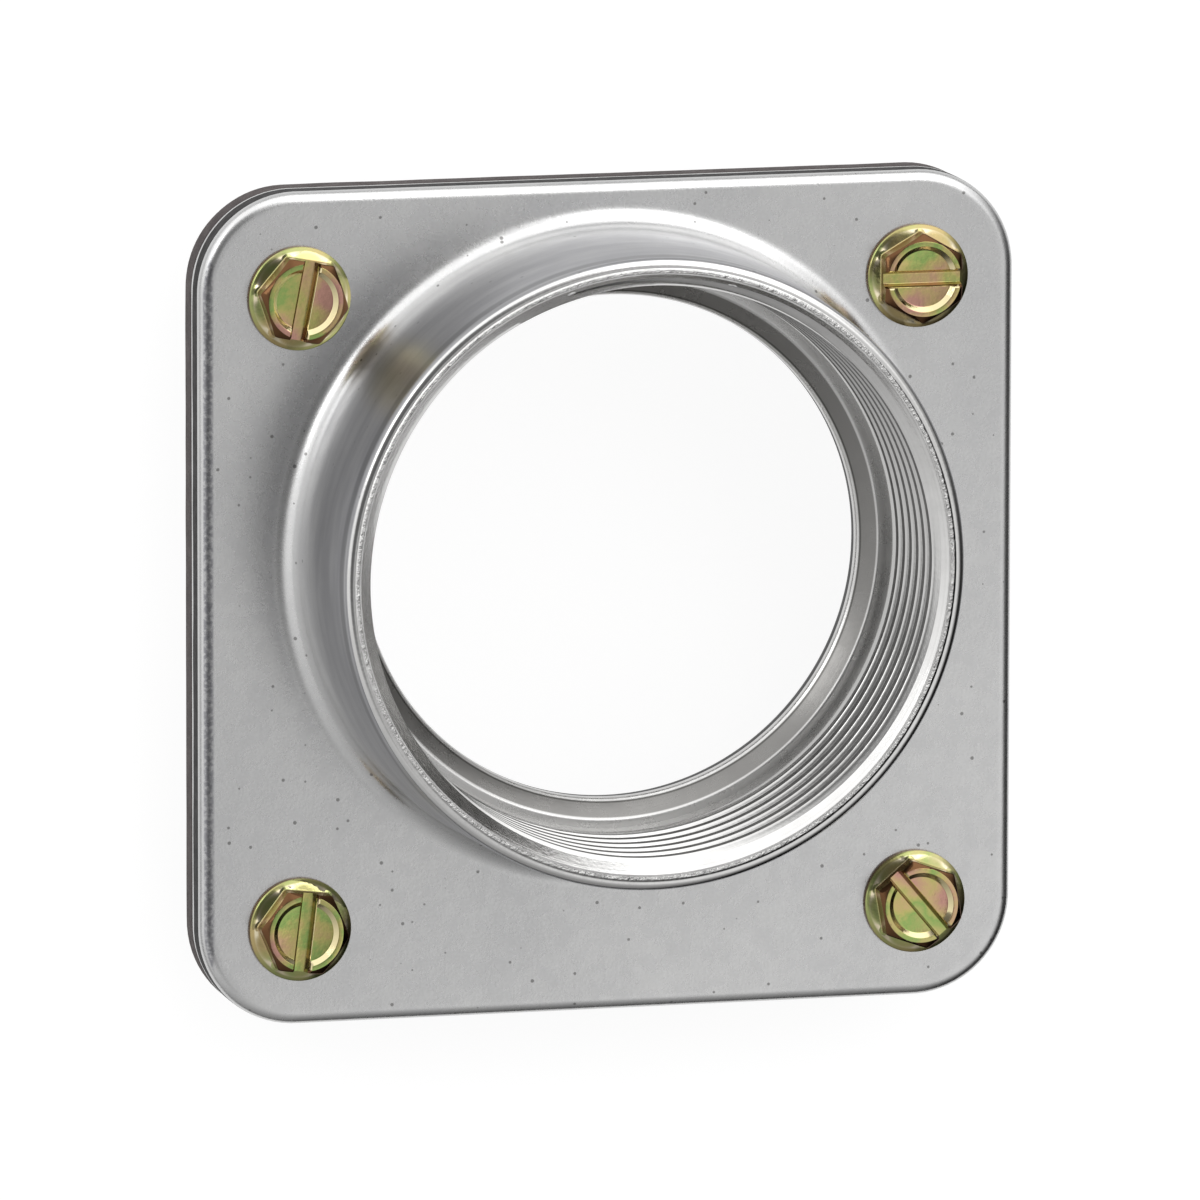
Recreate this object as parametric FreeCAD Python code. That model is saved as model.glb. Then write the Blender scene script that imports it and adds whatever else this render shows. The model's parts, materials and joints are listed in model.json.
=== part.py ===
"""Bolt-on conduit hub: a cast flange with a threaded collar, its gasket and its four screws.

Millimetres. +Z runs along the collar, away from the enclosure. The origin is the centre of the
bolt pattern, on the underside of the gasket, where the hub meets the enclosure.
"""
import FreeCAD
import Part

import math
import os

# Flange, a square plate with rounded corners, set a little high on its square bolt pattern
screw_spacing = 63.5
screw_edge_margin = 10.15
flange_rise = 0.4
flange_thickness = 3.8
flange_corner_radius = 10.0
flange_front_round = 1.2
flange_back_break = 0.4

# Collar outside, from the flange up to the rim
collar_height = 18.75
collar_wall = 3.15
collar_draft_deg = 2.0
collar_foot_fillet = 2.2
collar_rim_round = 0.8
collar_top_land = 2.3

# Bore, from the mouth down to the enclosure
mouth_chamfer = 1.75
thread_crest_radius = 28.45
shoulder_width = 1.05
shoulder_height = 5.7
throat_cone_width = 2.05
throat_lip_round = 0.5
throat_height = 3.9

# Gasket, a flat rubber frame behind the flange
gasket_thickness = 2.5
gasket_mouth_clearance = 1.5

# Screws, slotted hexagon heads with a washer face
screw_length = 12.7
screw_thread_radius = 2.41
screw_neck_relief = 0.26
screw_tip_chamfer = 0.6
washer_radius = 5.2
washer_rim_height = 0.5
washer_crown_height = 0.85
hex_across_flats = 7.94
head_height = 3.0
head_corner_chamfer_deg = 30.0
head_recess_radius = 3.05
head_recess_depth = 0.5
slot_width = 1.35
slot_depth = 1.25
flange_hole_clearance = 0.3
gasket_hole_clearance = 0.2

# Direction of each screw's slot, in degrees from +X, at its corner of the pattern
slot_angles = {(-1, 1): 79.0, (1, 1): 0.0, (-1, -1): 83.0, (1, -1): -50.0}

# How far a cutting shape runs past the face that it opens
cut_over = 1.0

# Heights and radii that follow from the sizes above
flange_half = screw_spacing / 2 + screw_edge_margin
flange_back_z = gasket_thickness
flange_front_z = flange_back_z + flange_thickness
rim_z = flange_front_z + collar_height
rim_radius = thread_crest_radius + collar_wall
draft = math.radians(collar_draft_deg)
foot_rise = collar_foot_fillet + (collar_height - collar_foot_fillet) * math.sin(draft)
foot_radius = rim_radius + foot_rise / math.cos(draft)
bore_offset = flange_rise + flange_half - collar_top_land - foot_radius
mouth_radius = thread_crest_radius + mouth_chamfer
shoulder_radius = thread_crest_radius - shoulder_width
throat_radius = shoulder_radius - throat_cone_width
bellmouth_end_radius = throat_radius + throat_height

UP = FreeCAD.Vector(0, 0, 1)
BORE_AXIS = FreeCAD.Vector(0, bore_offset, 0)
FULL_TURN = 360
HEX_SIDES = 6


def at(radius, height):
    """A point of a profile that is turned about the Z axis."""
    return FreeCAD.Vector(radius, 0, height)


def line(start, end):
    return Part.LineSegment(start, end).toShape()


def arc(centre, radius, start_deg, end_deg):
    """An arc of a profile, with angles from the outward direction towards +Z."""

    def point(angle_deg):
        angle = math.radians(angle_deg)
        return centre + at(radius * math.cos(angle), radius * math.sin(angle))

    return Part.Arc(point(start_deg), point((start_deg + end_deg) / 2), point(end_deg)).toShape()


def turned(edges):
    """The solid that a closed profile makes when it turns about the Z axis."""
    face = Part.Face(Part.Wire(edges))
    return face.revolve(FreeCAD.Vector(), UP, FULL_TURN)


def joined(points):
    """Straight edges from point to point."""
    return [line(a, b) for a, b in zip(points, points[1:])]


def screw_places():
    """Centre of each screw in plan, with its corner of the pattern."""
    for corner in slot_angles:
        reach = screw_spacing / 2
        yield corner, FreeCAD.Vector(corner[0] * reach, corner[1] * reach, 0)


def edges_at_height(shape, height):
    tolerance = 1e-6
    return [e for e in shape.Edges if all(abs(v.Z - height) < tolerance for v in e.Vertexes)]


def rounded_plate(bottom_z, thickness):
    """Square plate with the flange's outline."""
    side = 2 * flange_half
    corner = FreeCAD.Vector(-flange_half, flange_rise - flange_half, bottom_z)
    plate = Part.makeBox(side, side, thickness, corner)
    uprights = [e for e in plate.Edges if e.BoundBox.ZLength > thickness / 2]
    return plate.makeFillet(flange_corner_radius, uprights)


def screw_holes(radius, bottom_z, thickness):
    """Cutters for the four screws through one layer."""
    length = thickness + 2 * cut_over
    below = FreeCAD.Vector(0, 0, bottom_z - cut_over)
    return [Part.makeCylinder(radius, length, place + below) for _, place in screw_places()]


def flange_plate():
    plate = rounded_plate(flange_back_z, flange_thickness)
    plate = plate.makeFillet(flange_front_round, edges_at_height(plate, flange_front_z))
    return plate.makeChamfer(flange_back_break, edges_at_height(plate, flange_back_z))


def collar_outside():
    """Drafted collar with a hollow fillet at its foot and a rounded rim, as a solid plug."""
    rim_centre_radius = rim_radius - collar_rim_round * (1 - math.sin(draft)) / math.cos(draft)
    foot_centre = at(foot_radius, flange_front_z + collar_foot_fillet)
    rim_centre = at(rim_centre_radius, rim_z - collar_rim_round)
    foot = arc(foot_centre, collar_foot_fillet, 270, 180 + collar_draft_deg)
    rim = arc(rim_centre, collar_rim_round, collar_draft_deg, 90)
    base = joined([at(0, flange_back_z), at(foot_radius, flange_back_z), at(foot_radius, flange_front_z)])
    wall = line(foot.Vertexes[-1].Point, rim.Vertexes[0].Point)
    top = joined([rim.Vertexes[-1].Point, at(0, rim_z), at(0, flange_back_z)])
    return turned(base + [foot, wall, rim] + top)


def throat_lip():
    """Rounded lip of the throat, up to where the cone that leads to the shoulder leaves it."""
    centre = at(throat_radius + throat_lip_round, flange_back_z + throat_height)
    to_shoulder = at(shoulder_radius, flange_back_z + shoulder_height) - centre
    bearing = math.atan2(to_shoulder.z, to_shoulder.x)
    tangent = bearing + math.acos(throat_lip_round / to_shoulder.Length)
    return arc(centre, throat_lip_round, 180, math.degrees(tangent))


def bore_cutter():
    """Bell mouth, throat lip, cone, shoulder, thread wall and chamfered mouth."""
    shoulder_z = flange_back_z + shoulder_height
    below_z = flange_back_z - cut_over
    above_z = rim_z + cut_over
    bellmouth = arc(at(bellmouth_end_radius, flange_back_z + throat_height), throat_height, 270, 180)
    lip = throat_lip()
    back = joined([at(0, below_z), at(bellmouth_end_radius, below_z), bellmouth.Vertexes[0].Point])
    walls = joined([
        lip.Vertexes[-1].Point,
        at(shoulder_radius, shoulder_z),
        at(thread_crest_radius, shoulder_z),
        at(thread_crest_radius, rim_z - mouth_chamfer),
        at(mouth_radius, rim_z),
        at(mouth_radius, above_z),
        at(0, above_z),
        at(0, below_z),
    ])
    return turned(back + [bellmouth, lip] + walls)


def hub_body():
    """Flange and collar, cast as one piece and bored through."""
    body = flange_plate().fuse(collar_outside().translated(BORE_AXIS))
    body = body.cut(bore_cutter().translated(BORE_AXIS))
    hole_radius = screw_thread_radius + flange_hole_clearance
    return body.cut(screw_holes(hole_radius, flange_back_z, flange_thickness)).removeSplitter()


def gasket():
    """Flat frame with the flange's outline, clear of the bell mouth and of the screws."""
    opening_radius = bellmouth_end_radius + gasket_mouth_clearance
    opening_bottom = BORE_AXIS - UP * cut_over
    opening = Part.makeCylinder(opening_radius, gasket_thickness + 2 * cut_over, opening_bottom)
    holes = screw_holes(screw_thread_radius + gasket_hole_clearance, 0, gasket_thickness)
    return rounded_plate(0, gasket_thickness).cut([opening] + holes)


def hex_head():
    """Hexagon above the washer face, its corners cut back by a cone."""
    half_side_angle = math.pi / HEX_SIDES
    corner_radius = hex_across_flats / 2 / math.cos(half_side_angle)
    corners = []
    for step in range(HEX_SIDES + 1):
        angle = (2 * step + 1) * half_side_angle
        corners.append(FreeCAD.Vector(corner_radius * math.cos(angle), corner_radius * math.sin(angle), 0))
    prism = Part.Face(Part.makePolygon(corners)).extrude(UP * head_height)
    slope = math.tan(math.radians(head_corner_chamfer_deg))
    top_radius = hex_across_flats / 2
    cone_radius = corner_radius + cut_over
    cone_drop = (cone_radius - top_radius) * slope
    cone = turned(joined([
        at(0, 0),
        at(cone_radius, 0),
        at(cone_radius, head_height - cone_drop),
        at(top_radius, head_height),
        at(0, head_height),
        at(0, 0),
    ]))
    return prism.common(cone)


def screw():
    """One screw, its washer face on the plane Z = 0 and its slot along X."""
    grip = flange_thickness + gasket_thickness
    neck_radius = screw_thread_radius - screw_neck_relief
    shank = turned(joined([
        at(0, -screw_length),
        at(screw_thread_radius - screw_tip_chamfer, -screw_length),
        at(screw_thread_radius, -screw_length + screw_tip_chamfer),
        at(screw_thread_radius, -grip),
        at(neck_radius, -grip),
        at(neck_radius, 0),
        at(washer_radius, 0),
        at(washer_radius, washer_rim_height),
        at(hex_across_flats / 2, washer_crown_height),
        at(0, washer_crown_height),
        at(0, -screw_length),
    ]))
    recess_floor = UP * (head_height - head_recess_depth)
    recess = Part.makeCylinder(head_recess_radius, head_recess_depth + cut_over, recess_floor)
    slot_corner = FreeCAD.Vector(-washer_radius, -slot_width / 2, head_height - slot_depth)
    slot = Part.makeBox(2 * washer_radius, slot_width, slot_depth + cut_over, slot_corner)
    return shank.fuse(hex_head()).cut([recess, slot]).removeSplitter()


def mounting_screws():
    """The four screws as separate solids, each with its own slot direction."""
    one = screw()
    seat = UP * flange_front_z
    placed = []
    for corner, place in screw_places():
        turn = FreeCAD.Rotation(UP, slot_angles[corner])
        placed.append(one.transformed(FreeCAD.Placement(place + seat, turn).toMatrix()))
    return Part.makeCompound(placed)


def main():
    os.makedirs("parts", exist_ok=True)
    for make in (hub_body, gasket, mounting_screws):
        make().exportStep(os.path.join("parts", make.__name__ + ".step"))


main()
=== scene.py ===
"""Looks of the bolt-on conduit hub: the casting with its cut thread, the gasket and the four screws.

Lengths are millimetres in the hub's own frame, and become metres where a mesh is made.
"""
import json
import math

import bmesh
import bpy
from mathutils import Matrix, Vector, noise


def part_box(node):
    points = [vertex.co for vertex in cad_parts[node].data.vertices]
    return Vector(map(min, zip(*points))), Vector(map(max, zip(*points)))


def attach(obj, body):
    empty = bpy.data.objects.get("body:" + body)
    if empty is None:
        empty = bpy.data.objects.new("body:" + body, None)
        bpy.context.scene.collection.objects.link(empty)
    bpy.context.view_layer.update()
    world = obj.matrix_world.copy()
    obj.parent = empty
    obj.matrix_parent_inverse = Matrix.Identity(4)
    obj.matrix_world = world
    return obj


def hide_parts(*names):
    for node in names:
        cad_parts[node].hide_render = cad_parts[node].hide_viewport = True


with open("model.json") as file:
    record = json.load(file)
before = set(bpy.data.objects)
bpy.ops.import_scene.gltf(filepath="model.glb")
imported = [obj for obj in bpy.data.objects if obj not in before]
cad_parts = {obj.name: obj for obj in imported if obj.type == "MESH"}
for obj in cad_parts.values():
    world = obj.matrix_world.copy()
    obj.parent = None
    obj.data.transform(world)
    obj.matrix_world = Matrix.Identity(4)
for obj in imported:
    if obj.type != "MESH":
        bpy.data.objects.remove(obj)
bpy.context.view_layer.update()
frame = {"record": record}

MM = 0.001
TURN = 2 * math.pi
HEX_SIDES = 6
TINY = 1e-9


def node_box(node):
    """Lowest and highest corner of a node, in millimetres."""
    low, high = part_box(node)
    return low / MM, high / MM


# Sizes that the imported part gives
mounts = {mount["name"]: mount for mount in frame["record"]["mounts"]}
conduit_thread = mounts["conduit_thread"]
enclosure_screws = mounts["enclosure_screws"]
hub_low, hub_high = node_box("hub_body")
gasket_low, gasket_high = node_box("gasket")
screws_low, screws_high = node_box("mounting_screws")
bore_y = conduit_thread["pos_m"][1] / MM
crest_radius = conduit_thread["dims"]["r_mm"]
thread_middle_z = conduit_thread["pos_m"][2] / MM
thread_length = conduit_thread["dims"]["length_mm"]
screw_reach = enclosure_screws["dims"]["spacing_x_mm"] / 2
shank_radius = enclosure_screws["dims"]["stud_r_mm"]
flange_half = hub_high.x
flange_y = (hub_low.y + hub_high.y) / 2
back_z = hub_low.z
rim_z = hub_high.z
shoulder_z = thread_middle_z - thread_length / 2

# Flange and collar
flange_thickness = 3.8
front_z = back_z + flange_thickness
corner_radius = 10.0
front_round = 1.2
front_round_steps = 9
back_break = 0.4
bare_foot = 0.95
bare_foot_wave = 0.2
bare_foot_wave_length = 5.0
rim_radius = 31.6
rim_round = 0.8
rim_cast_width = rim_round / 3
draft = math.radians(2.0)
wall_foot_radius = rim_radius + (rim_z - front_z) * math.tan(draft)
foot_fillet = 2.2
foot_radius = wall_foot_radius + foot_fillet * math.tan(math.pi / 4 - draft / 2)
face_lead = 0.3
face_radius = foot_radius + face_lead

# Rings of the flange's broken back edge: how far in from the outline, and how far above the back
back_edge = (
    (0.0, back_break + 0.15),
    (0.03, back_break - 0.05),
    (back_break - 0.05, 0.03),
    (back_break + 0.1, 0.0),
)

# Rings of the flat faces, as shares of the way from the bore to the outline
face_shares = (0.1, 0.3, 0.5, 0.7, 0.9, 0.97)
back_shares = (0.9, 0.6, 0.3, 0.05)

# Bore, from the mouth down to the back of the flange
mouth_radius = 30.2
mouth_lead = 0.35
mouth_slope = 1.1
shoulder_radius = 27.4
shoulder_edge = 0.4
throat_radius = 25.35
throat_corner_height = 4.15
throat_corner_z = back_z + throat_corner_height
throat_lip_round = 0.5
bell_mouth_round = 3.2
back_lead = 0.4
back_radius = throat_radius + bell_mouth_round + back_lead
tool_edge = 0.18

# Conduit thread, a right-hand taper thread that starts in the mouth and fades above the shoulder
thread_pitch = 2.2087
thread_taper = 1 / 32
thread_depth = 0.88
thread_land = 0.8
thread_land_z = 22.73
thread_full_z = 12.3
thread_gone_z = 9.9

# Section that both threads share: slope of a flank, and the shares of the depth where it has points
flank_slope = math.tan(math.radians(30.0))
flank_lip = 0.06
flank_shares = (0.3, 0.53, 0.77, 1.0)

# Screw heads, with the direction of each slot in degrees at its corner of the pattern
screw_angles = {(-1, 1): 79.0, (1, 1): 0.0, (-1, -1): 83.0, (1, -1): -50.0}
head_height = screws_high.z - front_z
washer_radius = 5.2
washer_rim = 0.5
washer_crown = 0.85
washer_under_round = 0.12
washer_rim_round = 0.25
washer_slope_end = 0.75
washer_slope_drop = 0.12
hex_apothem = 3.97
hex_corner_round = 0.3
hex_foot_fillet = 0.3
head_chamfer = math.radians(30.0)
head_chamfer_lead = 0.12
flat_inset = 0.2
flat_radius = hex_apothem - flat_inset
flat_round = 0.12
flat_slope_run = 0.3
flat_slope_drop = 0.17
recess_radius = 3.05
recess_depth = 0.5
recess_lean_out = 0.27
recess_lean_in = 0.2
recess_round = 0.1
recess_last_ring = 0.4
slot_half_width = 0.53
slot_wall_lean = 0.18
slot_depth = 1.25
slot_flare = 0.14
slot_floor_round = 0.08
slot_mouth_lift = 0.01

# Rings of the hexagon's eased upper edge: how far in from its sides, and how far above the chamfer
head_edge = ((0.0, -0.16), (0.08, -0.06), (0.17, 0.02))

# Screw shanks
neck_relief = 0.26
neck_radius = shank_radius - neck_relief
neck_fillet = 0.15
tip_chamfer = 0.6
shank_pitch = 0.794
shank_thread_depth = 0.4
shank_land = 0.1
shank_fade = 0.35
flange_hole_clearance = 0.3
gasket_hole_clearance = 0.2

# Gasket
gasket_opening_radius = 30.75
gasket_edge_round = 0.25
gasket_edge_width = 1.0
gasket_waviness = 0.07
gasket_wave_length = 6.0

# How finely the skins are divided, and how far a cutter runs past the face that it opens
hub_columns = 480
screw_columns = 144
hole_columns = 96
round_step = math.radians(11.0)
smooth_angle = math.radians(32.0)
cut_over = 1.0

# Finishes of the casting, in the order of its materials
CAST = 0
MACHINED = 1
# Finish of the flange's side, which is painted near black as shade
SHADED_SIDE = 2


class Skin:
    """Points and faces of one closed surface."""

    def __init__(self):
        self.points = []
        self.faces = []
        self.finishes = []

    def point(self, x, y, z):
        self.points.append((x, y, z))
        return len(self.points) - 1

    def face(self, corners, finish=0):
        """Adds a face, without the corners that repeat the one before."""
        kept = [c for i, c in enumerate(corners) if c != corners[i - 1]]
        if len(kept) > 2:
            self.faces.append(kept)
            self.finishes.append(finish)

    def ring(self, points):
        return [self.point(*p) for p in points]

    def bridge(self, first, second, finish=0):
        """Quads between two rings of the same length."""
        count = len(first)
        for i in range(count):
            j = (i + 1) % count
            self.face((first[i], first[j], second[j], second[i]), finish)

    def bridge_all(self, rings, finish=0):
        for first, second in zip(rings, rings[1:]):
            self.bridge(first, second, finish)

    def fan(self, ring, centre):
        """Closes a ring with a fan of faces round one point."""
        middle = self.point(*centre)
        for i, corner in enumerate(ring):
            self.face((corner, ring[(i + 1) % len(ring)], middle))

    def prism(self, ends):
        """A bar between two end rings, closed with a flat face at each."""
        self.bridge(*ends)
        self.face(tuple(ends[0]))
        self.face(tuple(reversed(ends[1])))

    def mesh(self, name):
        """A mesh of the skin, with its faces turned to look outward."""
        mesh = bpy.data.meshes.new(name)
        mesh.from_pydata([Vector(p) * MM for p in self.points], [], self.faces)
        mesh.polygons.foreach_set("material_index", self.finishes)
        mesh.validate()
        work = bmesh.new()
        work.from_mesh(mesh)
        bmesh.ops.recalc_face_normals(work, faces=work.faces)
        work.to_mesh(mesh)
        work.free()
        return mesh


def rounded_path(corners):
    """Points of an open profile: each corner is (radius, height, rounding)."""
    spots = [Vector(corner[:2]) for corner in corners]
    path = [spots[0]]
    for before, spot, after, corner in zip(spots, spots[1:], spots[2:], corners[1:]):
        rounding = corner[2]
        came = (before - spot).normalized()
        goes = (after - spot).normalized()
        opening = came.angle(goes)
        turn = math.pi - opening
        if rounding == 0:
            path.append(spot)
            continue
        reach = rounding / math.tan(opening / 2)
        centre = spot + (came + goes).normalized() * (rounding / math.sin(opening / 2))
        arm = spot + came * reach - centre
        steps = max(2, math.ceil(turn / round_step))
        sense = math.copysign(1, came.x * goes.y - came.y * goes.x)
        for step in range(steps + 1):
            path.append(centre + Matrix.Rotation(-sense * turn * step / steps, 2) @ arm)
    path.append(spots[-1])
    return path


def turned_point(radius, z, angle, axis_y):
    return radius * math.cos(angle), axis_y + radius * math.sin(angle), z


def turned_ring(skin, radius, z, angles, axis_y=0.0):
    return skin.ring([turned_point(radius, z, a, axis_y) for a in angles])


def falling_angles(columns):
    """Angles round a ring, clockwise seen from above."""
    return [-TURN * i / columns for i in range(columns)]


def thread_section(pitch, depth, land):
    """One turn of a thread, from the middle of a land down to the next: (drop, share of the depth)."""
    flank = depth * flank_slope
    lip = (land / 2 + flank * 2 * flank_lip, flank_lip)
    going_in = [lip, *((land / 2 + flank * share, share) for share in flank_shares)]
    coming_out = [(pitch - drop, share) for drop, share in reversed(going_in)]
    return [(0.0, 0.0), (land / 2, 0.0), *going_in, (pitch / 2, 1.0), *coming_out, (pitch - land / 2, 0.0)]


def wind_thread(skin, upper, lower, pitch, land_z, profile, axis_y=0.0, finish=0):
    """Winds a right-hand thread down from the upper ring to the lower one.

    land_z is the height of a land's middle at the rings' first point, and profile(z) gives the radius
    and height of every row under a land's middle at that height.
    """
    columns = len(upper)
    angles = falling_angles(columns)
    top_z = skin.points[upper[0]][2]
    bottom_z = skin.points[lower[0]][2]
    start_z = land_z + pitch * (math.ceil((top_z - land_z) / pitch) + 1)
    last = math.ceil(columns * (start_z - bottom_z) / pitch)

    def held(column, radius, z):
        """A point of the thread, or the ring's own point beyond the end of the thread."""
        column = column % columns
        if z >= top_z:
            return upper[column]
        if z <= bottom_z:
            return lower[column]
        return skin.point(*turned_point(radius, z, angles[column], axis_y))

    grid = []
    for column in range(last + 1):
        grid.append([held(column, *spot) for spot in profile(start_z - pitch * column / columns)])
    rows = len(grid[0])

    def spot(column, row):
        if row < rows:
            return grid[column][row]
        return grid[column + columns][0] if column + columns <= last else lower[column % columns]

    for c in range(last):
        for r in range(rows):
            skin.face((spot(c, r), spot(c + 1, r), spot(c + 1, r + 1), spot(c, r + 1)), finish)


def crest_at(z):
    """Radius of the conduit thread's crests at a height."""
    return crest_radius + (z - thread_middle_z) * thread_taper


def chamfer_at(z):
    """Radius of the mouth's chamfer at a height."""
    return mouth_radius - (rim_z - z) / mouth_slope


def smooth_share(value):
    """0 below 0, 1 above 1, and an even curve between."""
    value = min(1.0, max(0.0, value))
    return value * value * (3 - 2 * value)


def outline_point(angle, inset):
    """Where a ray from the bore's axis meets the flange's outline, set in from its edge."""
    half = flange_half - inset
    rounding = max(corner_radius - inset, 0.0)
    direction = Vector((math.cos(angle), math.sin(angle)))
    origin = Vector((0.0, bore_y - flange_y))
    reaches = []
    for along, start in zip(direction, origin):
        if abs(along) > TINY:
            reaches.append((math.copysign(half, along) - start) / along)
    spot = origin + direction * min(reaches)
    inner = half - rounding
    if abs(spot.x) > inner and abs(spot.y) > inner:
        centre = Vector((math.copysign(inner, spot.x), math.copysign(inner, spot.y)))
        to_centre = centre - origin
        along = to_centre.dot(direction)
        spot = origin + direction * (along + math.sqrt(rounding**2 - to_centre.length_squared + along**2))
    return spot.x, spot.y + flange_y


def outline_ring(skin, angles, inset, z):
    return skin.ring([(*outline_point(a, inset), z) for a in angles])


def blended_ring(skin, angles, radius, inset, share, z):
    """A ring on a flat face, part of the way from a circle round the bore to the flange's outline."""
    points = []
    for a in angles:
        x, y = outline_point(a, inset)
        round_x, round_y, _ = turned_point(radius, z, a, bore_y)
        points.append((round_x + (x - round_x) * share, round_y + (y - round_y) * share, z))
    return skin.ring(points)


def add_piece(name, mesh, node, materials):
    piece = bpy.data.objects.new(name, mesh)
    bpy.context.scene.collection.objects.link(piece)
    for material in materials:
        mesh.materials.append(material)
    mesh.shade_smooth()
    mesh.set_sharp_from_angle(angle=smooth_angle)
    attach(piece, "root")
    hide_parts(node)


def cut(mesh, cutters):
    """Takes the cutters out of a mesh and gives the new mesh."""
    block = bpy.data.objects.new("block", mesh)
    bpy.context.scene.collection.objects.link(block)
    tools = []
    for cutter in cutters:
        tool = bpy.data.objects.new("tool", cutter)
        bpy.context.scene.collection.objects.link(tool)
        step = block.modifiers.new("cut", "BOOLEAN")
        step.operation = "DIFFERENCE"
        step.solver = "EXACT"
        step.object = tool
        tools.append(tool)
    made = bpy.data.meshes.new_from_object(block.evaluated_get(bpy.context.evaluated_depsgraph_get()))
    for used in [block, *tools]:
        bpy.data.objects.remove(used)
    made.name = mesh.name
    return made


def screw_places():
    """Centre of each screw in plan, and the way its slot is turned."""
    for corner, angle in screw_angles.items():
        yield Vector((corner[0] * screw_reach, corner[1] * screw_reach, 0)), math.radians(angle)


def hole_cutters(clearance, low_z, high_z):
    """A round bar through each screw's place, longer than the layer between the two heights."""
    radius = shank_radius + clearance
    bars = []
    for place, _ in screw_places():
        skin = Skin()
        ends = []
        for z in (low_z - cut_over, high_z + cut_over):
            rim = [turned_point(radius, z, a, place.y) for a in falling_angles(hole_columns)]
            ends.append(skin.ring([(place.x + x, y, z) for x, y, z in rim]))
        skin.prism(ends)
        bars.append(skin.mesh("bar"))
    return bars


def hub_mesh():
    """Casting: bore, thread, rim, collar, flange face, edge and back, as one closed skin."""
    skin = Skin()
    angles = falling_angles(hub_columns)

    def circle(radius, z):
        return turned_ring(skin, radius, z, angles, bore_y)

    lower_bore = rounded_path([
        (back_radius, back_z, 0),
        (throat_radius, back_z, bell_mouth_round),
        (throat_radius, throat_corner_z, throat_lip_round),
        (shoulder_radius, shoulder_z, shoulder_edge),
        (crest_at(shoulder_z), shoulder_z, 0),
    ])
    upper_side = rounded_path([
        (mouth_radius - mouth_lead, rim_z - mouth_lead * mouth_slope, 0),
        (mouth_radius, rim_z, tool_edge),
        (rim_radius, rim_z, rim_round),
        (wall_foot_radius, front_z, foot_fillet),
        (face_radius, front_z, 0),
    ])
    below = [circle(*spot) for spot in lower_bore]
    above = [circle(*spot) for spot in upper_side]
    skin.bridge_all(below, MACHINED)
    rim_end = next(i for i, spot in enumerate(upper_side) if spot.x > rim_radius - rim_cast_width)
    skin.bridge_all(above[: rim_end + 1], MACHINED)
    skin.bridge_all(above[rim_end:], CAST)

    section = thread_section(thread_pitch, thread_depth, thread_land)

    def thread_profile(land_z):
        """Rows of the thread under one land, cut back by the chamfer and with a row on the cut's edge."""
        spots = []
        for drop, share in section:
            z = land_z - drop
            fade = smooth_share((z - thread_gone_z) / (thread_full_z - thread_gone_z))
            spots.append((crest_at(z) + thread_depth * share * fade, z))
        proud = [radius - chamfer_at(z) for radius, z in spots]
        kept = [(max(radius, chamfer_at(z)), z) for radius, z in spots]
        for i in range(1, len(spots) - 1):
            if proud[i] * proud[i + 1] < 0:
                share = proud[i] / (proud[i] - proud[i + 1])
                crossing = tuple(a + (b - a) * share for a, b in zip(spots[i], spots[i + 1]))
                kept[i if share < 0.5 else i + 1] = crossing
        return kept

    wind_thread(skin, above[0], below[-1], thread_pitch, thread_land_z, thread_profile, bore_y, MACHINED)

    face = [blended_ring(skin, angles, face_radius, front_round, s, front_z) for s in face_shares]
    edge = []
    for step in range(front_round_steps + 1):
        slope = math.pi / 2 * step / front_round_steps
        inset = front_round * (1 - math.sin(slope))
        edge.append(outline_ring(skin, angles, inset, front_z - front_round * (1 - math.cos(slope))))
    # Wavy ring, a little above the back, where the painted shade on the flange's side ends
    shade_foot = []
    for a in angles:
        x, y = outline_point(a, 0.0)
        wave = noise.noise(Vector((x, y, 0)) / bare_foot_wave_length)
        shade_foot.append(skin.point(x, y, back_z + bare_foot + bare_foot_wave * wave))
    low_edge = [outline_ring(skin, angles, inset, back_z + lift) for inset, lift in back_edge]
    back_inset = back_edge[-1][0]
    back = [blended_ring(skin, angles, back_radius, back_inset, s, back_z) for s in back_shares]
    skin.bridge_all([above[-1], *face, *edge[:-1]], CAST)
    skin.bridge_all([*edge[-2:], shade_foot], SHADED_SIDE)
    skin.bridge_all([shade_foot, *low_edge, *back, below[0]], CAST)
    return cut(skin.mesh("hub_casting"), hole_cutters(flange_hole_clearance, back_z, front_z))


def gasket_mesh():
    """Rubber sheet with a softly rounded, slightly wavy cut edge."""
    skin = Skin()
    angles = falling_angles(hub_columns)
    bottom, top = gasket_low.z, gasket_high.z

    def outer(inset, z):
        points = []
        for a in angles:
            x, y = outline_point(a, inset)
            wave = (1 + noise.noise(Vector((x, y, z)) / gasket_wave_length)) / 2
            points.append((*outline_point(a, inset + gasket_waviness * wave), z))
        return skin.ring(points)

    profile = rounded_path([
        (gasket_edge_width, bottom, 0),
        (0.0, bottom, gasket_edge_round),
        (0.0, top, gasket_edge_round),
        (gasket_edge_width, top, 0),
    ])
    outside = [outer(*spot) for spot in profile]
    inside = []
    for spot in reversed(profile):
        inside.append(turned_ring(skin, gasket_opening_radius + spot.x, spot.y, angles, bore_y))
    skin.bridge_all([*outside, *inside, outside[0]])
    return cut(skin.mesh("gasket_sheet"), hole_cutters(gasket_hole_clearance, bottom, top))


def hex_radius(angle):
    """Reach of the head's hexagon with its rounded corners, a flat facing angle 0."""
    sector = TURN / HEX_SIDES
    off = abs((angle + sector / 2) % sector - sector / 2)
    inner = hex_apothem - hex_corner_round
    if math.tan(off) * hex_apothem <= inner * math.tan(sector / 2):
        return hex_apothem / math.cos(off)
    corner = inner / math.cos(sector / 2)
    away = sector / 2 - off
    return corner * math.cos(away) + math.sqrt(hex_corner_round**2 - (corner * math.sin(away)) ** 2)


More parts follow.
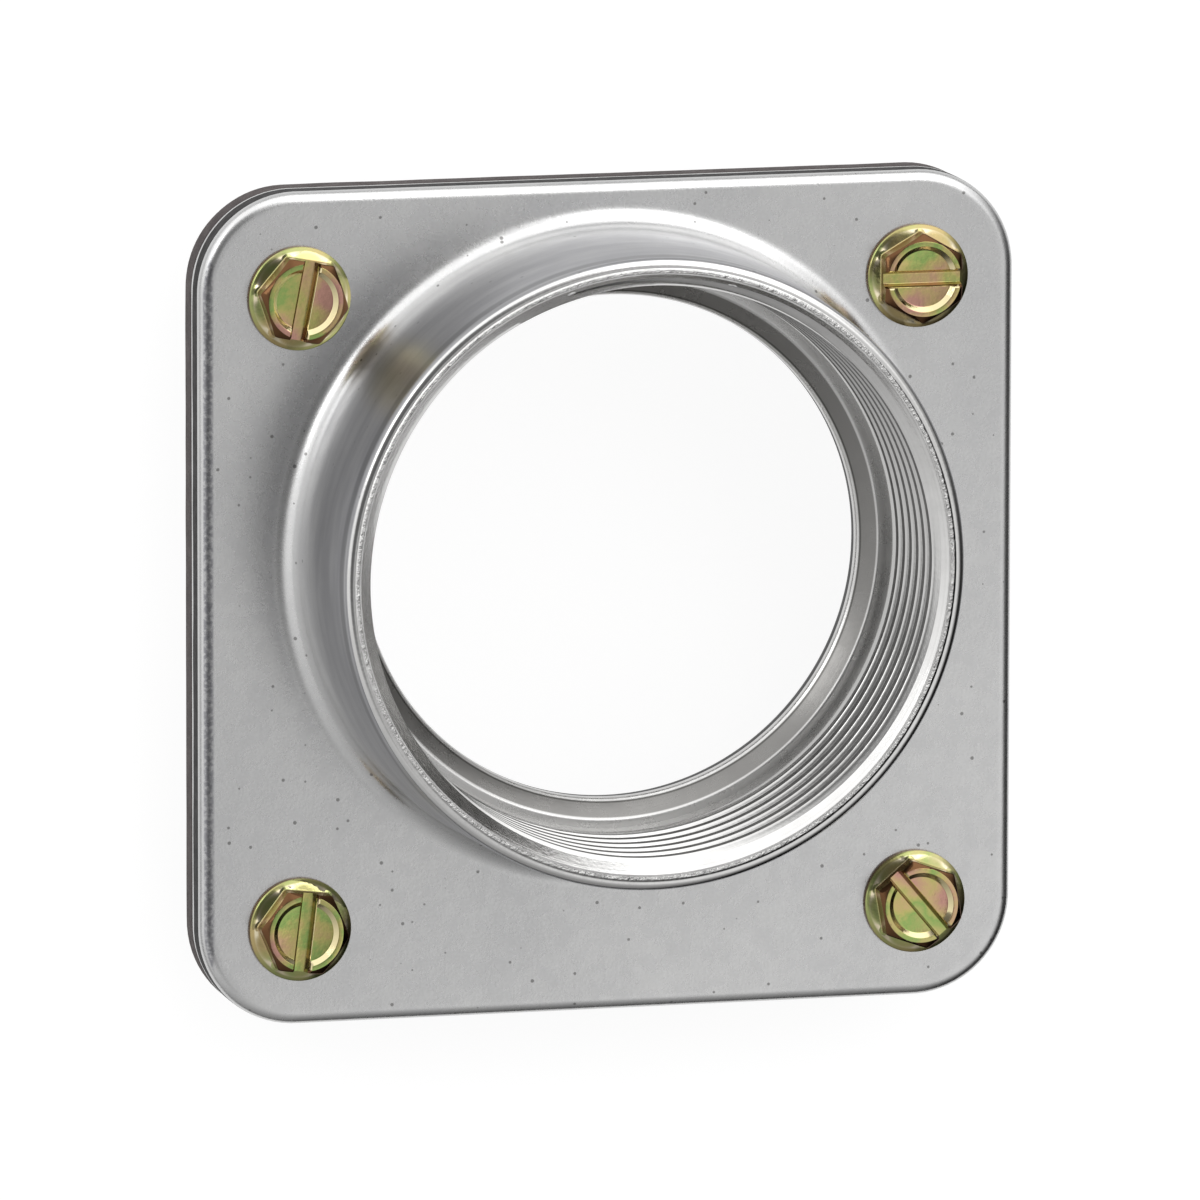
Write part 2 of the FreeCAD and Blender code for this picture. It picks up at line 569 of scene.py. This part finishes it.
def screw_mesh():
    """One screw with its washer's underside on the plane Z = 0 and its slot along X."""
    skin = Skin()
    angles = falling_angles(screw_columns)
    grip = front_z - gasket_low.z
    tip = screws_low.z - front_z

    def circle(radius, z):
        return turned_ring(skin, radius, z, angles)

    def hexagon(inset, z):
        return skin.ring([turned_point(hex_radius(a) - inset, z, a, 0.0) for a in angles])

    def hex_top(inset, lift):
        """The hexagon's upper edge, cut lower at its corners by the cone."""
        points = []
        for a in angles:
            reach = hex_radius(a)
            drop = max(0.0, reach - hex_apothem + head_chamfer_lead) * math.tan(head_chamfer)
            points.append(turned_point(reach - inset, head_height - drop + lift, a, 0.0))
        return skin.ring(points)

    tip_ring = circle(shank_radius - tip_chamfer, tip)
    thread_end = circle(shank_radius, tip + tip_chamfer)
    thread_top = circle(shank_radius, -grip)
    skin.fan(tip_ring, (0, 0, tip))
    skin.bridge(tip_ring, thread_end)

    section = thread_section(shank_pitch, shank_thread_depth, shank_land)

    def thread_profile(land_z):
        spots = []
        for drop, share in section:
            z = land_z - drop
            fade = smooth_share(min(-grip - z, z - tip - tip_chamfer) / shank_fade)
            spots.append((shank_radius - shank_thread_depth * share * fade, z))
        return spots

    wind_thread(skin, thread_top, thread_end, shank_pitch, -grip, thread_profile)

    under = rounded_path([
        (shank_radius, -grip, 0),
        (neck_radius, -grip, 0),
        (neck_radius, 0, neck_fillet),
        (washer_radius, 0, washer_under_round),
        (washer_radius, washer_rim, washer_rim_round),
        (hex_apothem + washer_slope_end, washer_crown - washer_slope_drop, 0),
    ])
    washer = [circle(*spot) for spot in under[1:]]
    sides = [
        hexagon(-hex_foot_fillet, washer_crown),
        hexagon(-hex_foot_fillet / 4, washer_crown + hex_foot_fillet / 4),
        hexagon(0.0, washer_crown + hex_foot_fillet),
        *(hex_top(inset, lift) for inset, lift in head_edge),
    ]
    recess_z = head_height - recess_depth
    top = rounded_path([
        (flat_radius + flat_slope_run, head_height - flat_slope_drop, 0),
        (flat_radius, head_height, flat_round),
        (recess_radius + recess_lean_out, head_height, recess_round),
        (recess_radius - recess_lean_in, recess_z, recess_round),
        (recess_last_ring, recess_z, 0),
    ])
    crown = [circle(*spot) for spot in top[1:]]
    skin.bridge_all([thread_top, *washer, *sides, *crown])
    skin.fan(crown[-1], (0, 0, recess_z))
    return cut(skin.mesh("screw"), [slot_cutter()])


def slot_cutter():
    """Bar along X whose section flares a little where it opens, so that the slot's edges are eased."""
    floor_z = head_height - slot_depth
    recess_z = head_height - recess_depth
    wall_top = slot_half_width + slot_wall_lean
    half = rounded_path([
        (0.0, floor_z, 0),
        (slot_half_width, floor_z, slot_floor_round),
        (wall_top, recess_z - slot_flare, 0),
        (wall_top + slot_flare, recess_z, 0),
        (wall_top + slot_flare, head_height - slot_flare, 0),
        (wall_top + 2 * slot_flare, head_height + slot_mouth_lift, 0),
        (wall_top + 2 * slot_flare, head_height + cut_over, 0),
    ])
    section = [(spot.x, spot.y) for spot in half] + [(-spot.x, spot.y) for spot in reversed(half[1:])]
    skin = Skin()
    skin.prism([skin.ring([(x, y, z) for y, z in section]) for x in (-washer_radius, washer_radius)])
    return skin.mesh("slot")


def screws_mesh():
    """The four screws, each turned its own way."""
    one = screw_mesh()
    work = bmesh.new()
    for place, angle in screw_places():
        copy = one.copy()
        seat = Matrix.Translation((place + Vector((0, 0, front_z))) * MM)
        copy.transform(seat @ Matrix.Rotation(angle, 4, "Z"))
        work.from_mesh(copy)
        bpy.data.meshes.remove(copy)
    mesh = bpy.data.meshes.new("screw_set")
    work.to_mesh(mesh)
    work.free()
    return mesh


class Nodes:
    """Short way to write the nodes of a material or of the world."""

    def __init__(self, owner):
        owner.use_nodes = True
        self.owner = owner
        self.tree = owner.node_tree
        self.coordinates = self.add("ShaderNodeTexCoord").outputs

    def add(self, kind, **settings):
        node = self.tree.nodes.new(kind)
        for name, value in settings.items():
            setattr(node, name, value)
        return node

    def link(self, source, target):
        if isinstance(source, bpy.types.NodeSocket):
            self.tree.links.new(source, target)
        else:
            target.default_value = source

    def scaled(self, vector, scale, turn=0.0):
        node = self.add("ShaderNodeMapping")
        self.link(vector, node.inputs["Vector"])
        node.inputs["Scale"].default_value = scale
        node.inputs["Rotation"].default_value = (0, 0, turn)
        return node.outputs["Vector"]

    def noise(self, scale, detail=3.0, roughness=0.55, vector=None):
        node = self.add("ShaderNodeTexNoise")
        self.link(self.millimetres if vector is None else vector, node.inputs["Vector"])
        node.inputs["Scale"].default_value = scale
        node.inputs["Detail"].default_value = detail
        node.inputs["Roughness"].default_value = roughness
        return node.outputs["Fac"]

    def between(self, value, span, to=(0.0, 1.0)):
        """Maps a value from one range to another, held at its ends."""
        node = self.add("ShaderNodeMapRange", interpolation_type="SMOOTHSTEP")
        self.link(value, node.inputs["Value"])
        node.inputs["From Min"].default_value = span[0]
        node.inputs["From Max"].default_value = span[1]
        node.inputs["To Min"].default_value = to[0]
        node.inputs["To Max"].default_value = to[1]
        return node.outputs["Result"]

    def math(self, operation, first, second=None):
        node = self.add("ShaderNodeMath", operation=operation)
        self.link(first, node.inputs[0])
        if second is not None:
            self.link(second, node.inputs[1])
        return node.outputs[0]

    def plus(self, first, second):
        return self.math("ADD", first, second)

    def minus(self, first, second):
        return self.math("SUBTRACT", first, second)

    def times(self, first, second):
        return self.math("MULTIPLY", first, second)

    def mix(self, share, first, second):
        node = self.add("ShaderNodeMix", data_type="RGBA")
        self.link(share, node.inputs["Factor"])
        self.link(first, node.inputs["A"])
        self.link(second, node.inputs["B"])
        return node.outputs["Result"]

    def ramp(self, value, stops):
        node = self.add("ShaderNodeValToRGB")
        self.link(value, node.inputs["Fac"])
        elements = node.color_ramp.elements
        while len(elements) < len(stops):
            elements.new(1.0)
        for element, (position, colour) in zip(elements, stops):
            element.position = position
            element.color = colour
        return node.outputs["Color"]

    def bump(self, height, distance, before=None):
        node = self.add("ShaderNodeBump")
        node.inputs["Distance"].default_value = distance * MM
        self.link(height, node.inputs["Height"])
        if before is not None:
            self.link(before, node.inputs["Normal"])
        return node.outputs["Normal"]

    def vector(self, operation, first, second=None):
        node = self.add("ShaderNodeVectorMath", operation=operation)
        self.link(first, node.inputs[0])
        if second is not None:
            self.link(second, node.inputs[1])
        single = operation in ("LENGTH", "DOT_PRODUCT")
        return node.outputs["Value" if single else "Vector"]

    def split(self, vector):
        node = self.add("ShaderNodeSeparateXYZ")
        self.link(vector, node.inputs["Vector"])
        return node.outputs

    def joined(self, x, y):
        node = self.add("ShaderNodeCombineXYZ")
        self.link(x, node.inputs["X"])
        self.link(y, node.inputs["Y"])
        return node.outputs["Vector"]

    def set(self, **values):
        """Sets the surface shader's sockets, named in small letters with underscores."""
        shader = self.tree.nodes["Principled BSDF"]
        sockets = {socket.name.lower().replace(" ", "_"): socket for socket in shader.inputs}
        for name, value in values.items():
            self.link(value, sockets[name])


def material_nodes(name):
    """Nodes of a new material, with the object's own coordinates in millimetres."""
    n = Nodes(bpy.data.materials.new(name))
    n.millimetres = n.scaled(n.coordinates["Object"], (1 / MM,) * 3)
    return n


def rgb(*values):
    return (*values, 1.0)


# Range that most values of a noise lie in, and the same range without its darkest part
noise_span = (0.3, 0.7)
noise_upper = (0.35, 0.7)


def cast_material():
    """Satin die cast skin: finely grained, with small pits and faint scuffs; painted shade darkens the
    collar towards the rim and the top of the flange's front edge on its left side.
    """
    plate_dark = rgb(0.70, 0.70, 0.70)
    plate_light = rgb(0.78, 0.778, 0.772)
    cloud_grey = rgb(0.65, 0.65, 0.66)
    grain_grey = rgb(0.84, 0.84, 0.84)
    pit_grey = rgb(0.16, 0.155, 0.15)
    scuff_grey = rgb(0.85, 0.85, 0.85)
    collar_shade_grey = rgb(0.42, 0.42, 0.44)
    ring_grey = rgb(0.20, 0.20, 0.21)
    left_edge_shade_grey = rgb(0.35, 0.35, 0.37)
    plate_blur = (0.26, 0.285)
    cloud_patches = (0.4, 0.7)
    cloud_shares = (0.0, 0.2)
    grain_shares = (0.0, 0.3)
    pits_per_mm = 0.9
    pit_share = 0.7
    pit_sizes = (0.0, 0.2)
    pit_rarity = (0.62, 1.0)
    pit_rim = (0.0, -0.06)
    scuff_share = 0.3
    scuff_stretch = (0.25, 4.0, 0.4)
    scuff_turn = math.radians(38.0)
    scuff_rarity = (0.72, 0.8)
    streak_stretch = (0.09, 0.09, 0.5)
    streak_shares = (-0.15, 0.15)
    collar_foot = (front_z + 0.5, front_z + 2.5)
    collar_shade_rise = (front_z + 2.0, front_z + 9.0)
    collar_shade_shares = (0.2, 0.75)
    collar_blur = 0.09
    ring_share = 0.5
    ring_bottom = (rim_z - 2.7, rim_z - 2.0)
    ring_top = (rim_z - 0.85, rim_z - 1.2)
    left_edge_span = (1.55 - flange_half, 1.2 - flange_half)
    left_edge_top = (front_z - 0.34, front_z - 0.2)
    left_edge_patches = (0.35, 0.6)
    left_edge_shares = (0.4, 1.0)

    n = material_nodes("cast_skin")
    mottle = n.noise(scale=0.07, detail=4.0)
    cloud = n.noise(scale=0.6, detail=5.0, roughness=0.6)
    grain = n.noise(scale=3.2, detail=4.0, roughness=0.65)
    colour = n.ramp(mottle, list(zip(noise_span, (plate_dark, plate_light))))
    colour = n.mix(n.between(cloud, cloud_patches, to=cloud_shares), colour, cloud_grey)
    colour = n.mix(n.between(grain, noise_upper, to=grain_shares), colour, grain_grey)

    pits = n.add("ShaderNodeTexVoronoi")
    n.link(n.millimetres, pits.inputs["Vector"])
    pits.inputs["Scale"].default_value = pits_per_mm
    chance = n.split(pits.outputs["Color"])["X"]
    pit_size = n.between(chance, pit_rarity, to=pit_sizes)
    pit = n.between(n.minus(pits.outputs["Distance"], pit_size), pit_rim)
    colour = n.mix(n.times(pit, pit_share), colour, pit_grey)

    scuff_way = n.scaled(n.millimetres, scuff_stretch, scuff_turn)
    scuff = n.between(n.noise(scale=1.0, detail=2.0, vector=scuff_way), scuff_rarity)
    colour = n.mix(n.times(scuff, scuff_share), colour, scuff_grey)

    height = n.split(n.millimetres)["Z"]
    # Painted shade: the collar darkens from its foot towards the rim, with faint streaks
    collar = n.between(height, collar_foot)
    streak = n.noise(scale=1.0, vector=n.scaled(n.millimetres, streak_stretch))
    dark = n.between(height, collar_shade_rise, to=collar_shade_shares)
    dark = n.plus(dark, n.between(streak, noise_span, to=streak_shares))
    colour = n.mix(n.times(collar, dark), colour, collar_shade_grey)
    ring = n.times(n.between(height, ring_bottom), n.between(height, ring_top))
    colour = n.mix(n.times(ring, ring_share), colour, ring_grey)
    # Painted shade: the upper part of the front edge's rounding on the flange's left side, darkened in
    # patches
    side = n.between(n.split(n.millimetres)["X"], left_edge_span)
    side = n.times(side, n.between(height, left_edge_top))
    left_edge_shade = n.times(side, n.between(n.noise(scale=2.5), left_edge_patches, to=left_edge_shares))
    colour = n.mix(left_edge_shade, colour, left_edge_shade_grey)

    roughness = n.between(cloud, noise_span, to=plate_blur)
    roughness = n.plus(roughness, n.times(collar, collar_blur))
    relief = n.bump(grain, distance=0.010)
    relief = n.bump(n.noise(scale=0.25, detail=2.0), distance=0.02, before=relief)
    n.set(base_color=colour, roughness=roughness, normal=relief, metallic=1.0)
    return n.owner


def side_shade_material():
    """Unfinished side of the flange, painted near black as shade."""
    dark_side_shade = rgb(0.045, 0.044, 0.044)
    light_side_shade = rgb(0.075, 0.073, 0.073)

    n = material_nodes("grimy_side")
    shade_patches = n.noise(scale=0.9, detail=5.0)
    colour = n.mix(n.between(shade_patches, noise_span), dark_side_shade, light_side_shade)
    relief = n.bump(n.noise(scale=3.2, detail=4.0, roughness=0.65), distance=0.02)
    n.set(base_color=colour, roughness=0.6, normal=relief, metallic=0.1, specular_ior_level=0.08)
    return n.owner


def machined_material():
    """Turned surface: bright on the rim and the flanks, dull below the shoulder; painted shade darkens the
    lands, a band just above the lip and a band in the throat below it, and a painted highlight lightens
    the shoulder's inner edge.
    """
    fresh_dark = rgb(0.76, 0.755, 0.745)
    fresh_light = rgb(0.84, 0.835, 0.825)
    line_grey = rgb(0.66, 0.65, 0.64)
    flank_grey = rgb(0.66, 0.655, 0.645)
    dull_grey = rgb(0.64, 0.635, 0.625)
    cone_grey = rgb(0.26, 0.255, 0.247)
    lip_shade_grey = rgb(0.12, 0.118, 0.112)
    bell_grey = rgb(0.60, 0.60, 0.605)
    throat_shade_black = rgb(0.04, 0.04, 0.04)
    land_shade_dark = rgb(0.06, 0.058, 0.055)
    land_shade_light = rgb(0.11, 0.107, 0.102)
    line_shares = (0.0, 0.35)
    mouth_foot = (rim_z - 1.7, rim_z - 2.1)
    land_depth = (0.025, 0.008)
    land_bottom = (thread_full_z - 1.5, thread_full_z - 0.5)
    dull_top = (shoulder_z + 3.0, shoulder_z + 1.5)
    cone_top = (shoulder_z - 0.02, shoulder_z - 0.15)
    shoulder_highlight_radius = (shoulder_radius + 0.2, shoulder_radius + 0.1)
    shoulder_highlight_bottom = (shoulder_z - 0.2, shoulder_z - 0.1)
    lip_shade_top = (throat_corner_z + 0.44, throat_corner_z + 0.36)
    lip_top = (throat_corner_z + 0.32, throat_corner_z + 0.22)
    throat_top = (throat_corner_z - 0.45, throat_corner_z - 0.57)
    throat_bottom = (back_z + 1.6, back_z + 2.1)
    bell_top = (back_z + 2.3, back_z + 1.6)
    burr_radius = mouth_radius + 0.15
    burr_width = (0.35, 0.1)
    burr_bottom = (rim_z - 0.25, rim_z - 0.1)
    fresh_blur = (0.16, 0.10)
    dull_blur = 0.15
    bell_blur = 0.2
    land_blur = 0.34
    throat_loss = 0.9
    land_loss = 0.7

    n = material_nodes("machined_metal")
    parts = n.split(n.vector("SUBTRACT", n.millimetres, (0, bore_y, 0)))
    height = parts["Z"]
    reach = n.vector("LENGTH", n.joined(parts["X"], parts["Y"]))
    lines = n.noise(scale=5.0, detail=4.0, roughness=0.7, vector=n.joined(reach, height))
    patches = n.noise(scale=0.35, detail=4.0)
    fresh = n.ramp(patches, list(zip(noise_span, (fresh_dark, fresh_light))))
    fresh = n.mix(n.between(lines, noise_span, to=line_shares), fresh, line_grey)

    dull = n.between(height, dull_top)
    # Painted highlight: the shoulder's inner rounded edge takes the lighter flank colour
    edge = n.times(n.between(reach, shoulder_highlight_radius), n.between(height, shoulder_highlight_bottom))
    colour = n.mix(n.between(height, mouth_foot), fresh, flank_grey)
    colour = n.mix(dull, colour, dull_grey)
    colour = n.mix(n.between(height, cone_top), colour, cone_grey)
    colour = n.mix(edge, colour, flank_grey)
    # Painted shade: a near-black band just above the lip
    colour = n.mix(n.between(height, lip_shade_top), colour, lip_shade_grey)
    colour = n.mix(n.between(height, lip_top), colour, fresh)

    # Painted shade: the thread's lands dark, rough and little metallic, in patches
    taper = n.times(n.minus(height, thread_middle_z), thread_taper)
    sunk = n.minus(reach, n.plus(taper, crest_radius))
    land = n.times(n.between(sunk, land_depth), n.between(height, land_bottom))
    land_shade_patches = n.noise(scale=1.2, detail=4.0)
    colour = n.mix(land, colour, n.mix(n.between(land_shade_patches, noise_upper), land_shade_dark, land_shade_light))

    bell = n.between(height, bell_top)
    # Painted shade: a near-black, less metallic band in the throat below the lip
    throat = n.times(n.between(height, throat_top), n.between(height, throat_bottom))
    colour = n.mix(bell, colour, bell_grey)
    colour = n.mix(throat, colour, throat_shade_black)

    roughness = n.between(patches, noise_span, to=fresh_blur)
    roughness = n.plus(roughness, n.times(dull, dull_blur))
    roughness = n.plus(roughness, n.times(n.math("MAXIMUM", throat, bell), bell_blur))
    roughness = n.plus(roughness, n.times(land, land_blur))
    metallic = n.minus(1.0, n.times(throat, throat_loss))
    metallic = n.minus(metallic, n.times(land, land_loss))

    burr = n.between(n.math("ABSOLUTE", n.minus(reach, burr_radius)), burr_width)
    burr = n.times(burr, n.between(height, burr_bottom))
    nick = n.noise(scale=1.6, detail=4.0, roughness=0.7)
    relief = n.bump(lines, distance=0.006)
    relief = n.bump(n.noise(scale=2.2), distance=0.008, before=relief)
    relief = n.bump(n.times(nick, burr), distance=0.35, before=relief)
    n.set(base_color=colour, roughness=roughness, normal=relief, metallic=metallic)
    return n.owner


def chromate_material():
    """Yellow chromate over zinc: gold, with green, pink and tan films that run into each other; painted
    shade darkens the head's upright walls and outer slopes, and painted highlights lighten the recess's
    sloped wall and the washer round the hexagon's base.
    """
    head_films = [
        (0.34, rgb(0.60, 0.33, 0.26)),
        (0.44, rgb(0.62, 0.46, 0.22)),
        (0.50, rgb(0.55, 0.50, 0.18)),
        (0.57, rgb(0.32, 0.46, 0.14)),
        (0.68, rgb(0.56, 0.50, 0.20)),
    ]
    washer_films = [
        (0.34, rgb(0.52, 0.41, 0.19)),
        (0.50, rgb(0.46, 0.43, 0.18)),
        (0.60, rgb(0.37, 0.42, 0.16)),
        (0.70, rgb(0.50, 0.46, 0.22)),
    ]
    wall_shade_brown = rgb(0.21, 0.125, 0.05)
    slope_shade_brown = rgb(0.15, 0.075, 0.035)
    bevel_highlight_gold = rgb(0.78, 0.68, 0.40)
    foot_highlight_gold = rgb(0.88, 0.78, 0.55)
    foot_z = front_z + washer_crown
    head_start = (foot_z, foot_z + 0.3)
    above_flange = (front_z - 0.1, front_z)
    outer_part = (recess_radius + 0.6, recess_radius + 0.7)
    foot_bottom = (foot_z - 0.2, foot_z - 0.1)
    foot_top = (foot_z + 0.3, foot_z + 0.2)
    film_drift = (-0.02, 0.02)
    film_blur = (0.07, 0.13)
    wall_loss = 0.3

    # How upright the surface's normal stands on each part of the head
    wall_lean = (0.5, 0.2)
    slope_from = (0.4, 0.5)
    slope_to = (0.94, 0.9)
    bevel_from = (0.5, 0.6)
    bevel_to = (0.78, 0.74)
    foot_lean = (0.95, 0.9)

    n = material_nodes("yellow_chromate")
    fine = n.noise(scale=1.6)
    film = n.plus(n.noise(scale=0.2, detail=1.0), n.between(fine, noise_span, to=film_drift))
    height = n.split(n.millimetres)["Z"]
    head = n.between(height, head_start)
    colour = n.mix(head, n.ramp(film, washer_films), n.ramp(film, head_films))

    upright = n.split(n.add("ShaderNodeNewGeometry").outputs["Normal"])["Z"]
    # Painted shade: the upright walls darker brown and less metallic
    wall = n.times(n.between(height, above_flange), n.between(upright, wall_lean))
    colour = n.mix(wall, colour, wall_shade_brown)
    away = n.vector("SUBTRACT", n.vector("ABSOLUTE", n.millimetres), (screw_reach, screw_reach, 0))
    from_axis = n.vector("LENGTH", n.vector("MULTIPLY", away, (1, 1, 0)))
    outer = n.between(from_axis, outer_part)
    # Painted shade: the outer chamfer slopes of the hexagon darker brown
    slope = n.times(n.between(upright, slope_from), n.between(upright, slope_to))
    colour = n.mix(n.times(n.times(slope, head), outer), colour, slope_shade_brown)
    # Painted highlight: the recess's sloped wall in pale gold
    bevel = n.times(n.between(upright, bevel_from), n.between(upright, bevel_to))
    inner = n.minus(1.0, outer)
    colour = n.mix(n.times(n.times(bevel, head), inner), colour, bevel_highlight_gold)
    # Painted highlight: a pale gold ring on the washer round the hexagon's base
    foot = n.times(n.between(height, foot_bottom), n.between(height, foot_top))
    colour = n.mix(n.times(foot, n.between(upright, foot_lean)), colour, foot_highlight_gold)

    roughness = n.between(fine, noise_span, to=film_blur)
    metallic = n.minus(1.0, n.times(wall, wall_loss))
    relief = n.bump(n.noise(scale=2.0), distance=0.012)
    n.set(base_color=colour, roughness=roughness, normal=relief, metallic=metallic)
    return n.owner


def rubber_material():
    """Matt brown-black sheet rubber with a fine tooth and pale dust."""
    bare_rubber = rgb(0.066, 0.053, 0.052)
    dusty_rubber = rgb(0.103, 0.086, 0.084)
    rubber_blur = (0.62, 0.8)

    n = material_nodes("gasket_rubber")
    dust = n.noise(scale=0.6, detail=5.0)
    tooth = n.noise(scale=6.0)
    colour = n.mix(n.between(dust, noise_upper), bare_rubber, dusty_rubber)
    roughness = n.between(tooth, noise_span, to=rubber_blur)
    n.set(base_color=colour, roughness=roughness, normal=n.bump(tooth, distance=0.05))
    return n.owner


# Viewpoint of the photograph
view_yaw = math.radians(14.7243)
view_pitch = math.radians(9.5791)
view_roll = math.radians(0.1063)
view_distance = 1766.9
aim_x = 0.7344
aim_y = -0.87
focal_px = 17663.5
image_px = 1200
sensor_width = 36.0
clip_near = 100.0
clip_far = 20000.0


def view_back():
    """Direction from the hub to the camera."""
    return Vector((
        -math.sin(view_yaw) * math.cos(view_pitch),
        math.sin(view_pitch),
        math.cos(view_yaw) * math.cos(view_pitch),
    ))


def add_camera():
    towards = view_back()
    level = Vector((math.cos(view_yaw), 0, math.sin(view_yaw)))
    upright = towards.cross(level)
    right = level * math.cos(view_roll) + upright * math.sin(view_roll)
    up = upright * math.cos(view_roll) - level * math.sin(view_roll)
    data = bpy.data.cameras.new("camera")
    data.sensor_width = sensor_width
    data.lens = focal_px / image_px * sensor_width
    data.clip_start = clip_near * MM
    data.clip_end = clip_far * MM
    camera = bpy.data.objects.new("camera", data)
    turn = Matrix((right, up, towards)).transposed().to_4x4()
    place = (right * aim_x + up * aim_y + towards * view_distance) * MM
    camera.matrix_world = Matrix.Translation(place) @ turn
    bpy.context.scene.collection.objects.link(camera)
    bpy.context.scene.camera = camera


def add_softbox(name, place, aim, size, radiance):
    """A soft rectangular lamp: place and aim in millimetres, radiance as brightness seen in a mirror."""
    data = bpy.data.lights.new(name, "AREA")
    data.shape = "RECTANGLE"
    data.size, data.size_y = size[0] * MM, size[1] * MM
    data.energy = radiance * math.pi * data.size * data.size_y
    lamp = bpy.data.objects.new(name, data)
    place, aim = Vector(place) * MM, Vector(aim) * MM
    lamp.location = place
    lamp.rotation_euler = (place - aim).to_track_quat("Z", "Y").to_euler()
    bpy.context.scene.collection.objects.link(lamp)


# Surroundings: bright beyond the hub's top edge and towards a window, dim round the lens and to the right
bright_way = (-0.26, 0.97, 0.0)
surround_mean = 0.80
surround_slope = 0.56
window_way = (0.53, 0.63, 0.57)
window_light = 0.5
window_angles = (48.0, 20.0)

# Dim parts of the surroundings: direction, outer and inner angle, and share of the light that is left
dim_parts = (
    (view_back(), (38.0, 16.0), 0.15),
    ((0.77, -0.64, 0.0), (44.0, 18.0), 0.1),
    ((0.96, 0.0, 0.28), (42.0, 18.0), 0.1),
)


def add_world():
    n = Nodes(bpy.data.worlds.new("studio"))
    way = n.coordinates["Generated"]

    def towards(direction, angles, to):
        """A value that changes from one to the other where the light comes from near a direction."""
        span = [math.cos(math.radians(angle)) for angle in angles]
        return n.between(n.vector("DOT_PRODUCT", way, direction), span, to=to)

    level = n.plus(n.times(n.vector("DOT_PRODUCT", way, bright_way), surround_slope), surround_mean)
    for direction, angles, share in dim_parts:
        level = n.times(level, towards(direction, angles, (1.0, share)))
    level = n.plus(level, towards(window_way, window_angles, (0.0, window_light)))
    background = n.tree.nodes["Background"]
    n.link(level, background.inputs["Strength"])
    background.inputs["Color"].default_value = rgb(1.0, 1.0, 1.0)
    bpy.context.scene.world = n.owner


# Floor, and the part of it that the picture takes in
floor_half = 900.0
floor_gap = 0.02
picture_middle = (2.4, -2.0, 0.0)
picture_edge = (65.0, 83.0)
floor_bright_way = (-0.6, 0.8, 0.0)
floor_slope = 0.38
floor_mean = 0.36
floor_glow_mirrored = 0.8
floor_glow_seen = 1.15
floor_glow_share = 0.78


def add_floor():
    """White floor under the screw tips, which the metal sees fade to grey beyond the picture."""
    mesh = bpy.data.meshes.new("floor")
    corners = [(x * floor_half, y * floor_half, 0) for x, y in ((-1, -1), (1, -1), (1, 1), (-1, 1))]
    mesh.from_pydata([Vector(c) * MM for c in corners], [], [(0, 1, 2, 3)])
    mesh.materials.append(floor_material())
    floor = bpy.data.objects.new("floor", mesh)
    floor.location = (0, 0, (screws_low.z - floor_gap) * MM)
    bpy.context.scene.collection.objects.link(floor)


def floor_material():
    """White where the picture sees it, and grey further out where only the metal mirrors it."""
    n = material_nodes("floor")
    path = n.add("ShaderNodeLightPath").outputs
    way = n.vector("NORMALIZE", n.millimetres)
    beyond = n.plus(n.times(n.vector("DOT_PRODUCT", way, floor_bright_way), floor_slope), floor_mean)
    off = n.split(n.vector("ABSOLUTE", n.vector("SUBTRACT", n.millimetres, picture_middle)))
    share = n.between(n.math("MAXIMUM", off["X"], off["Y"]), picture_edge)
    share = n.times(share, n.minus(1.0, path["Is Camera Ray"]))
    tone = n.add("ShaderNodeMix", data_type="FLOAT")
    n.link(share, tone.inputs["Factor"])
    n.link(1.0, tone.inputs["A"])
    n.link(beyond, tone.inputs["B"])
    diffuse = n.add("ShaderNodeBsdfDiffuse")
    n.link(tone.outputs["Result"], diffuse.inputs["Color"])
    glow = n.add("ShaderNodeEmission")
    n.link(tone.outputs["Result"], glow.inputs["Color"])
    strength = n.between(path["Is Camera Ray"], (0.0, 1.0), to=(floor_glow_mirrored, floor_glow_seen))
    n.link(strength, glow.inputs["Strength"])
    mirrored = n.math("MAXIMUM", path["Is Glossy Ray"], path["Is Transmission Ray"])
    glowing = n.math("MAXIMUM", n.times(path["Is Camera Ray"], floor_glow_share), mirrored)
    blend = n.add("ShaderNodeMixShader")
    n.link(glowing, blend.inputs["Fac"])
    n.link(diffuse.outputs["BSDF"], blend.inputs[1])
    n.link(glow.outputs["Emission"], blend.inputs[2])
    n.link(blend.outputs["Shader"], n.tree.nodes["Material Output"].inputs["Surface"])
    return n.owner


hub_materials = [cast_material(), machined_material(), side_shade_material()]
add_piece("hub_casting", hub_mesh(), "hub_body", hub_materials)
add_piece("gasket_sheet", gasket_mesh(), "gasket", [rubber_material()])
add_piece("screw_set", screws_mesh(), "mounting_screws", [chromate_material()])

add_camera()
add_world()
add_floor()
add_softbox("key", place=(165, 235, 410), aim=(0, 10, 10), size=(190, 150), radiance=1.2)
add_softbox("front", place=(210, -190, 480), aim=(0, 0, 10), size=(220, 220), radiance=0.22)
add_softbox("side", place=(-375, 215, 250), aim=(0, 0, 10), size=(200, 160), radiance=1.5)
bpy.context.scene.view_settings.view_transform = "Standard"
